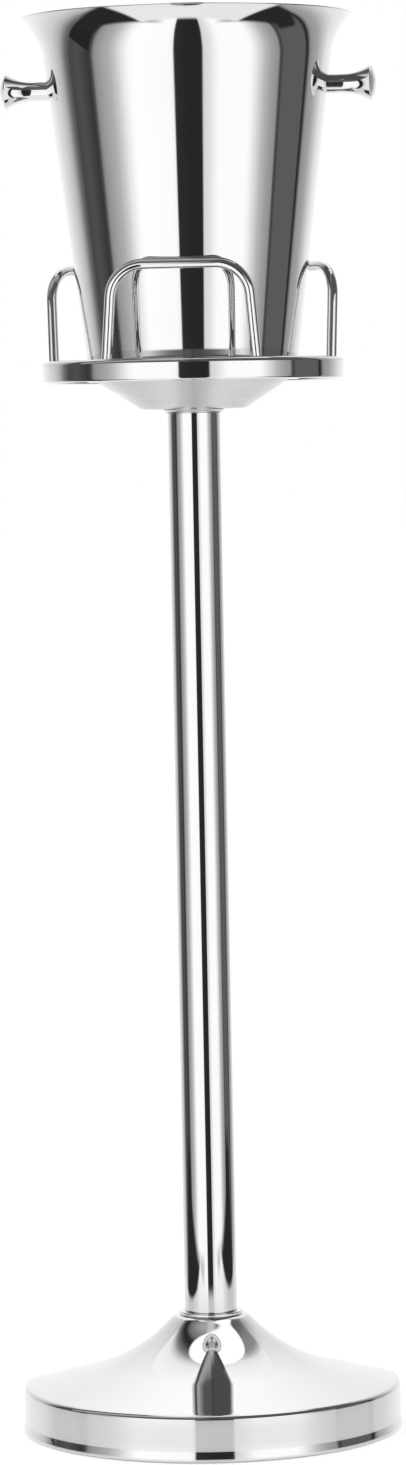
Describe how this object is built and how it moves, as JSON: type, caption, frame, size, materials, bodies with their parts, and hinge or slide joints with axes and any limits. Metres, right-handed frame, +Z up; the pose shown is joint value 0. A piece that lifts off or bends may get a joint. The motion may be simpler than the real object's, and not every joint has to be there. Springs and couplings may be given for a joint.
{
  "type": "champagne bucket stand",
  "caption": "Tapered mirror-polished wine cooler bucket with flared lip and side knobs, lifting out of a round tray with wire guards on a slim pole and a weighted bell base.",
  "frame": {"origin": "centre of the base's underside, on the floor", "axes": "+Z up along the pole; the bucket's two knobs lie on +X and -X; the front guard hoop is on -Y"},
  "size_m": [0.23, 0.23, 0.8499],
  "materials": {
    "polished_steel": "mirror-polished stainless steel",
    "satin_steel": "turned stainless steel, satin",
    "zinc_fasteners": "bright zinc-plated steel",
    "seal_rubber": "matt black rubber",
    "foot_rubber": "matt black rubber",
    "black_plate": "black powder coat",
    "cast_weight": "sand-cast, dark primer"
  },
  "bodies": {
    "stand": {"tray": "polished_steel", "guard_hoop_front": "polished_steel", "guard_hoop_rear_right": "polished_steel", "guard_hoop_rear_left": "polished_steel", "top_collar": "satin_steel", "pole_tube": "polished_steel", "pole_foot_ring": "polished_steel", "base_shell": "polished_steel", "hoop_washers": "zinc_fasteners", "hoop_nuts": "zinc_fasteners", "tray_bolt": "zinc_fasteners", "tray_bolt_washer": "zinc_fasteners", "base_bolt": "zinc_fasteners", "base_bolt_washer": "zinc_fasteners", "top_plug": "zinc_fasteners", "bottom_plug": "zinc_fasteners", "bottom_plate_screws": "zinc_fasteners", "foot_pad_ring": "foot_rubber", "bottom_plate": "black_plate", "base_weight": "cast_weight"},
    "bucket": {"bucket_shell": "polished_steel", "knob_right": "polished_steel", "knob_left": "polished_steel", "knob_screws": "zinc_fasteners", "knob_washers": "zinc_fasteners", "knob_seals": "seal_rubber"}
  },
  "joints": [
    {"name": "bucket_lift", "type": "slide", "parent": "stand", "child": "bucket", "axis": [0, 0, 1], "range_m": [0, 0.12]}
  ]
}
